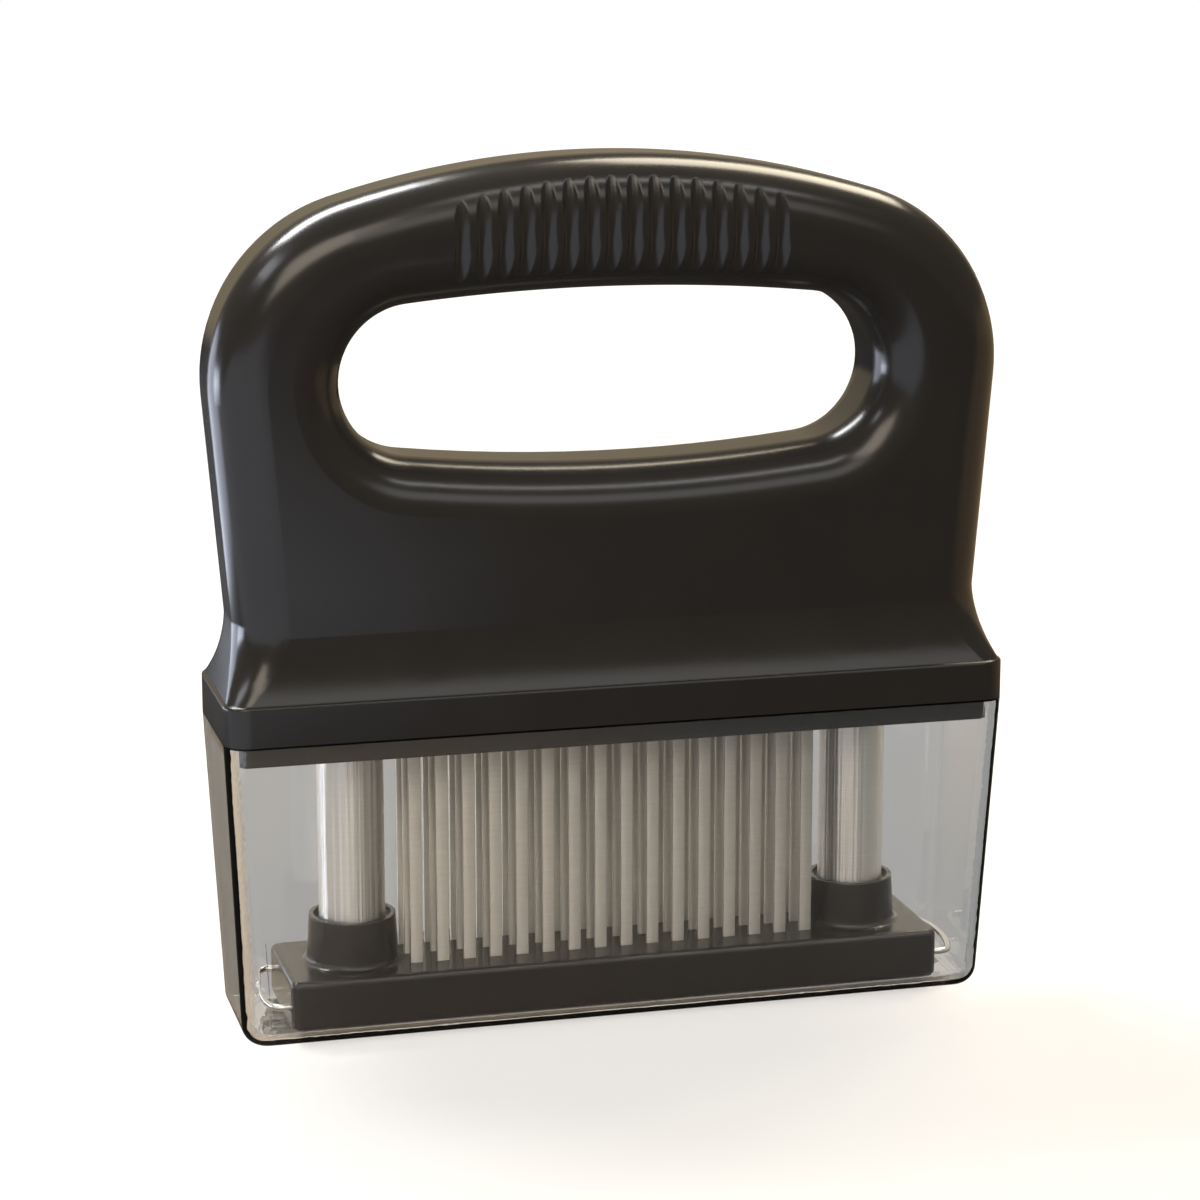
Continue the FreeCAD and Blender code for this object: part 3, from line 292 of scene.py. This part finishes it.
def mouldedAcetal():
    # Acetal, moulded and left as it comes: a dull black, faintly waxy
    look = {"colour": "#262626", "paleColour": "#2f2f2f", "roughness": (0.42, 0.55), "grainSize": 0.5,
            "grainDepth": 0.003}
    material, tree, shader, inMm = newFinish("mouldedAcetal")
    grain = addNode(tree, "ShaderNodeTexNoise", {"Vector": inMm, "Scale": 1 / look["grainSize"],
                    "Detail": 2.0})
    tone = addNode(tree, "ShaderNodeMix", {0: grain.outputs[0], 6: linearColour(look["colour"]),
                   7: linearColour(look["paleColour"])}, data_type="RGBA")
    skin = addNode(tree, "ShaderNodeBump", {"Height": grain.outputs[0], "Distance": look["grainDepth"] * mm})
    gloss = addNode(tree, "ShaderNodeMapRange", {"Value": grain.outputs[0], "To Min": look["roughness"][0],
                    "To Max": look["roughness"][1]})
    tree.links.new(tone.outputs[2], shader.inputs["Base Color"])
    tree.links.new(gloss.outputs[0], shader.inputs["Roughness"])
    tree.links.new(skin.outputs[0], shader.inputs["Normal"])
    return material


# A metal with fine straight lines in one direction, which stretch its reflections across them
def linedSteel(name, colours, roughness, lineSpacing, lineLength, lineDepth, along):
    material, tree, shader, inMm = newFinish(name)
    scale = [1 / lineSpacing] * 3
    scale[along] = 1 / lineLength
    stretched = addNode(tree, "ShaderNodeMapping", {"Vector": inMm, "Scale": scale})
    lines = addNode(tree, "ShaderNodeTexNoise", {"Vector": stretched.outputs[0], "Scale": 1.0, "Detail": 3.0})
    tone = addNode(tree, "ShaderNodeMix", {0: lines.outputs[0], 6: linearColour(colours[0]),
                   7: linearColour(colours[1])}, data_type="RGBA")
    cut = addNode(tree, "ShaderNodeBump", {"Height": lines.outputs[0], "Distance": lineDepth * mm})
    gloss = addNode(tree, "ShaderNodeMapRange", {"Value": lines.outputs[0], "To Min": roughness[0],
                    "To Max": roughness[1]})
    shader.inputs["Metallic"].default_value = 1.0
    tree.links.new(tone.outputs[2], shader.inputs["Base Color"])
    tree.links.new(gloss.outputs[0], shader.inputs["Roughness"])
    tree.links.new(cut.outputs[0], shader.inputs["Normal"])
    return material


def mouldedStyrene():
    # Polystyrene, injection moulded in a mirror-polished tool: clear as glass, with a slight wave in
    # its walls
    look = {"colour": "#fbfcfc", "lampTint": "#f7f7f7", "roughness": 0.0, "ior": 1.59, "waveSize": 18.0,
            "waveDepth": 0.012,
            "edgeColour": "#c4906c", "edgeDensity": 15.0}
    material, tree, shader, inMm = newFinish("mouldedStyrene")
    wave = addNode(tree, "ShaderNodeTexNoise", {"Vector": inMm, "Scale": 1 / look["waveSize"], "Detail": 1.0})
    skin = addNode(tree, "ShaderNodeBump", {"Height": wave.outputs[0], "Distance": look["waveDepth"] * mm})
    shader.inputs["Base Color"].default_value = linearColour(look["colour"])
    shader.inputs["Roughness"].default_value = look["roughness"]
    shader.inputs["IOR"].default_value = look["ior"]
    shader.inputs["Transmission Weight"].default_value = 1.0
    tree.links.new(skin.outputs[0], shader.inputs["Normal"])
    path = addNode(tree, "ShaderNodeLightPath")
    lampPath = addNode(tree, "ShaderNodeBsdfTransparent", {"Color": linearColour(look["lampTint"])})
    both = addNode(tree, "ShaderNodeMixShader", {0: path.outputs["Is Shadow Ray"], 1: shader.outputs[0],
                   2: lampPath.outputs[0]})
    # the long way through a wall, seen at the corners and along the rim, is darker and warmer
    depth = addNode(tree, "ShaderNodeVolumeAbsorption", {"Color": linearColour(look["edgeColour"]),
                    "Density": look["edgeDensity"]})
    out = next(n for n in tree.nodes if n.type == "OUTPUT_MATERIAL")
    tree.links.new(both.outputs[0], out.inputs["Surface"])
    tree.links.new(depth.outputs[0], out.inputs["Volume"])
    return material


# Steel whose reflections are smeared upright, as fine marks across a piece do
def smearedSteel(name, look):
    material, tree, shader, inMm = newFinish(name)
    streaks = addNode(tree, "ShaderNodeMapping", {"Vector": inMm, "Scale": [1 / s for s in look["markSize"]]})
    streaks = addNode(tree, "ShaderNodeTexNoise", {"Vector": streaks.outputs[0], "Scale": 1.0, "Detail": 2.0})
    tone = addNode(tree, "ShaderNodeMix", {0: streaks.outputs[0], 6: linearColour(look["colour"]),
                   7: linearColour(look["markColour"])}, data_type="RGBA")
    lines = addNode(tree, "ShaderNodeMapping", {"Vector": inMm, "Scale": [1 / s for s in look["lineSize"]]})
    lines = addNode(tree, "ShaderNodeTexNoise", {"Vector": lines.outputs[0], "Scale": 1.0, "Detail": 2.0})
    drawn = addNode(tree, "ShaderNodeBump", {"Height": lines.outputs[0], "Distance": look["lineDepth"] * mm})
    around = addNode(tree, "ShaderNodeTangent", direction_type="RADIAL", axis="Z")
    shader.inputs["Metallic"].default_value = 1.0
    shader.inputs["Roughness"].default_value = look["roughness"]
    shader.inputs["Anisotropic"].default_value = look["anisotropy"]
    shader.inputs["Anisotropic Rotation"].default_value = look["quarterTurn"]
    tree.links.new(tone.outputs[2], shader.inputs["Base Color"])
    tree.links.new(drawn.outputs[0], shader.inputs["Normal"])
    tree.links.new(around.outputs[0], shader.inputs["Tangent"])
    return material


# Stainless tube, drawn and then polished on a belt while it turns: upright streaks, broken by the
# lines of the draw, which are much coarser and deeper here than real ones, so that they show
tubeLook = {"colour": "#e2e0dc", "markColour": "#cbc9c5", "markSize": (50.0, 50.0, 0.25), "roughness": 0.34,
            "quarterTurn": 0.25, "anisotropy": 0.97, "lineSize": (1.0, 1.0, 200.0), "lineDepth": 0.4}
# Stainless strip, ground across its length: smooth and even from root to point
bladeFinish = {"colour": "#dedad2", "markColour": "#c8c4bb", "markSize": (8.0, 8.0, 0.2), "roughness": 0.5,
               "quarterTurn": 0.25, "anisotropy": 0.85, "lineSize": (2.2, 2.2, 60.0), "lineDepth": 0.004}

finishes = {
    "black_abs": mouldedAbs(),
    "black_acetal": mouldedAcetal(),
    "clear_styrene": mouldedStyrene(),
    "blade_steel": smearedSteel("groundStainless", bladeFinish),
    "polished_steel": smearedSteel("polishedTube", tubeLook),
    # Stainless wire, drawn through a die: bright, with lines along it
    "spring_steel": linedSteel("drawnWire", ("#d2d2d2", "#b4b4b4"), (0.16, 0.26), 0.25, 5.0, 0.002, 0),
    # Steel with a zinc plating: a bluish grey, cloudy
    "zinc_steel": linedSteel("zincPlatedSteel", ("#b9bcc2", "#9a9ea6"), (0.3, 0.45), 0.8, 0.8, 0.002, 2),
}
print("materials made")

# Every CAD node takes the finish of its slot
slotOf = {row["node"]: row["material_slot"] for row in frame["record"]["subparts"]}
for name, node in nodes.items():
    node.data.materials.clear()
    node.data.materials.append(finishes[slotOf[name]])
print("CAD nodes finished")


# Geometry Nodes
def newGeometryTree(name, inputs):
    tree = bpy.data.node_groups.new(name, "GeometryNodeTree")
    tree.interface.new_socket("Geometry", in_out="INPUT", socket_type="NodeSocketGeometry")
    for label, kind in inputs.items():
        tree.interface.new_socket(label, in_out="INPUT", socket_type=kind)
    tree.interface.new_socket("Geometry", in_out="OUTPUT", socket_type="NodeSocketGeometry")
    return tree, addNode(tree, "NodeGroupInput").outputs


# Every tree ends in plain geometry with its finish on it
def closeGeometryTree(tree, geometry, finish):
    plain = addNode(tree, "GeometryNodeRealizeInstances", {"Geometry": geometry})
    painted = addNode(tree, "GeometryNodeSetMaterial", {"Geometry": plain.outputs[0], "Material": finish})
    addNode(tree, "NodeGroupOutput", {0: painted.outputs[0]})


# Run a tree on a seed mesh and keep the result as a plain mesh
def growPiece(name, seedMesh, tree, values):
    piece = bpy.data.objects.new(name, seedMesh)
    bpy.context.scene.collection.objects.link(piece)
    grower = piece.modifiers.new(tree.name, "NODES")
    grower.node_group = tree
    for item in tree.interface.items_tree:
        if item.in_out == "INPUT" and item.name in values:
            grower[item.identifier] = values[item.name]
    bpy.context.view_layer.update()
    grown = bpy.data.meshes.new_from_object(piece.evaluated_get(bpy.context.evaluated_depsgraph_get()))
    piece.modifiers.clear()
    piece.data = grown
    grown.name = name
    return piece


# Blades: one ground strip, repeated along each row
bladeLook = {"count": 16, "pitch": 4.45, "width": 2.05, "thickness": 0.8, "pointHeight": 2.4,
             "headWidth": 2.9, "headHeight": 1.5, "edgeBreak": 0.12}


def bladeMesh(look, low, high):
    half, head = look["width"] / 2 * mm, look["headWidth"] / 2 * mm
    shoulder = high - look["headHeight"] * mm
    outline = [(-half, low + look["pointHeight"] * mm), (half, low), (half, shoulder), (head, shoulder),
               (head, high), (-head, high), (-head, shoulder), (-half, shoulder)]
    work = bmesh.new()
    front = -look["thickness"] / 2 * mm
    face = work.faces.new([work.verts.new((x, front, z)) for x, z in outline])
    made = bmesh.ops.extrude_face_region(work, geom=[face])["geom"]
    pushed = [v for v in made if isinstance(v, bmesh.types.BMVert)]
    bmesh.ops.translate(work, vec=(0, -2 * front, 0), verts=pushed)
    bmesh.ops.recalc_face_normals(work, faces=work.faces)
    bmesh.ops.bevel(work, geom=list(work.edges), offset=look["edgeBreak"] * mm, segments=2, affect="EDGES",
                    profile=0.5)
    for face in work.faces:
        face.smooth = True
    mesh = bpy.data.meshes.new("blade")
    work.to_mesh(mesh)
    work.free()
    return mesh


def bladeTree(finish):
    tree, given = newGeometryTree("bladeRow", {"Count": "NodeSocketInt", "Pitch": "NodeSocketFloat",
                                  "Row": "NodeSocketFloat", "Finish": "NodeSocketMaterial"})
    spaces = addNode(tree, "ShaderNodeMath", {0: given["Count"], 1: 1.0}, operation="SUBTRACT")
    length = addNode(tree, "ShaderNodeMath", {0: spaces.outputs[0], 1: given["Pitch"]}, operation="MULTIPLY")
    start = addNode(tree, "ShaderNodeMath", {0: length.outputs[0], 1: -0.5}, operation="MULTIPLY")
    first = addNode(tree, "ShaderNodeCombineXYZ", {"X": start.outputs[0], "Y": given["Row"]})
    step = addNode(tree, "ShaderNodeCombineXYZ", {"X": given["Pitch"]})
    places = addNode(tree, "GeometryNodeMeshLine", {"Count": given["Count"],
                     "Start Location": first.outputs[0],
                     "Offset": step.outputs[0]})
    row = addNode(tree, "GeometryNodeInstanceOnPoints", {"Points": places.outputs[0],
                  "Instance": given["Geometry"]})
    closeGeometryTree(tree, row.outputs[0], given["Finish"])
    return tree


rowTree = bladeTree(finishes["blade_steel"])
for place in ("front", "middle", "back"):
    low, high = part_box(f"{place}_blade_row")
    row = growPiece(f"{place}Blades", bladeMesh(bladeLook, low.z, high.z), rowTree,
                    {"Count": bladeLook["count"], "Pitch": bladeLook["pitch"] * mm,
                     "Row": (low.y + high.y) / 2,
                     "Finish": finishes["blade_steel"]})
    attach(row, "handle")
    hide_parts(f"{place}_blade_row")
print("blades in place")

# Springs: wire wound on a helix, with a closed turn at each end
springLook = {"wire": 0.8, "turns": 22, "pointsPerTurn": 36, "wireSides": 10}
closedHeight = 3.0  # wire thicknesses that the two closed turns and the wire itself take up


def springTree():
    tree, given = newGeometryTree("coilSpring", {"Turns": "NodeSocketInt", "Points": "NodeSocketInt",
                                  "Radius": "NodeSocketFloat", "Wire": "NodeSocketFloat",
                                  "Bottom": "NodeSocketVector", "Length": "NodeSocketFloat",
                                  "Finish": "NodeSocketMaterial"})
    count = addNode(tree, "ShaderNodeMath", {0: given["Turns"], 1: given["Points"]}, operation="MULTIPLY")
    line = addNode(tree, "GeometryNodeMeshLine", {"Count": count.outputs[0]})
    index = addNode(tree, "GeometryNodeInputIndex")
    turn = addNode(tree, "ShaderNodeMath", {0: index.outputs[0], 1: given["Points"]}, operation="DIVIDE")
    angle = addNode(tree, "ShaderNodeMath", {0: turn.outputs[0], 1: 2 * math.pi}, operation="MULTIPLY")
    side = addNode(tree, "ShaderNodeMath", {0: angle.outputs[0]}, operation="COSINE")
    depth = addNode(tree, "ShaderNodeMath", {0: angle.outputs[0]}, operation="SINE")
    # the first and last turn rise by the wire's own thickness, the rest share what is left
    lastTurn = addNode(tree, "ShaderNodeMath", {0: given["Turns"], 1: 1.0}, operation="SUBTRACT")
    free = addNode(tree, "ShaderNodeMath", {0: given["Wire"], 1: -closedHeight, 2: given["Length"]},
                   operation="MULTIPLY_ADD")
    bottomTurn = addNode(tree, "ShaderNodeMapRange", {"Value": turn.outputs[0], "From Min": 0.0,
                         "From Max": 1.0,
                         "To Min": 0.0, "To Max": given["Wire"]})
    middle = addNode(tree, "ShaderNodeMapRange", {"Value": turn.outputs[0], "From Min": 1.0,
                     "From Max": lastTurn.outputs[0], "To Min": 0.0, "To Max": free.outputs[0]})
    topTurn = addNode(tree, "ShaderNodeMapRange", {"Value": turn.outputs[0], "From Min": lastTurn.outputs[0],
                      "From Max": given["Turns"], "To Min": 0.0, "To Max": given["Wire"]})
    height = addNode(tree, "ShaderNodeMath", {0: bottomTurn.outputs[0], 1: middle.outputs[0]},
                     operation="ADD")
    height = addNode(tree, "ShaderNodeMath", {0: height.outputs[0], 1: topTurn.outputs[0]}, operation="ADD")
    height = addNode(tree, "ShaderNodeMath", {0: given["Wire"], 1: 0.5, 2: height.outputs[0]},
                     operation="MULTIPLY_ADD")
    ring = addNode(tree, "ShaderNodeCombineXYZ", {"X": side.outputs[0], "Y": depth.outputs[0]})
    ring = addNode(tree, "ShaderNodeVectorMath", {0: ring.outputs[0], "Scale": given["Radius"]},
                   operation="SCALE")
    lift = addNode(tree, "ShaderNodeCombineXYZ", {"Z": height.outputs[0]})
    place = addNode(tree, "ShaderNodeVectorMath", {0: ring.outputs[0], 1: lift.outputs[0]}, operation="ADD")
    place = addNode(tree, "ShaderNodeVectorMath", {0: place.outputs[0], 1: given["Bottom"]}, operation="ADD")
    helix = addNode(tree, "GeometryNodeSetPosition", {"Geometry": line.outputs[0],
                    "Position": place.outputs[0]})
    path = addNode(tree, "GeometryNodeMeshToCurve", {"Mesh": helix.outputs[0]})
    half = addNode(tree, "ShaderNodeMath", {0: given["Wire"], 1: 0.5}, operation="MULTIPLY")
    section = addNode(tree, "GeometryNodeCurvePrimitiveCircle", {"Resolution": springLook["wireSides"],
                      "Radius": half.outputs[0]})
    coil = addNode(tree, "GeometryNodeCurveToMesh", {"Curve": path.outputs[0],
                   "Profile Curve": section.outputs[0],
                   "Fill Caps": True})
    closeGeometryTree(tree, coil.outputs[0], given["Finish"])
    return tree


windSpring = springTree()
for side in ("left", "right"):
    low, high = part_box(f"{side}_spring")
    middle = (low + high) / 2
    spring = growPiece(f"{side}CoilSpring", bpy.data.meshes.new("springSeed"), windSpring,
                       {"Turns": springLook["turns"], "Points": springLook["pointsPerTurn"],
                        "Radius": (high.x - low.x - springLook["wire"] * mm) / 2,
                        "Wire": springLook["wire"] * mm,
                        "Bottom": (middle.x, middle.y, low.z), "Length": high.z - low.z,
                        "Finish": finishes["spring_steel"]})
    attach(spring, "handle")
    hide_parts(f"{side}_spring")
    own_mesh(spring)
print("springs in place")
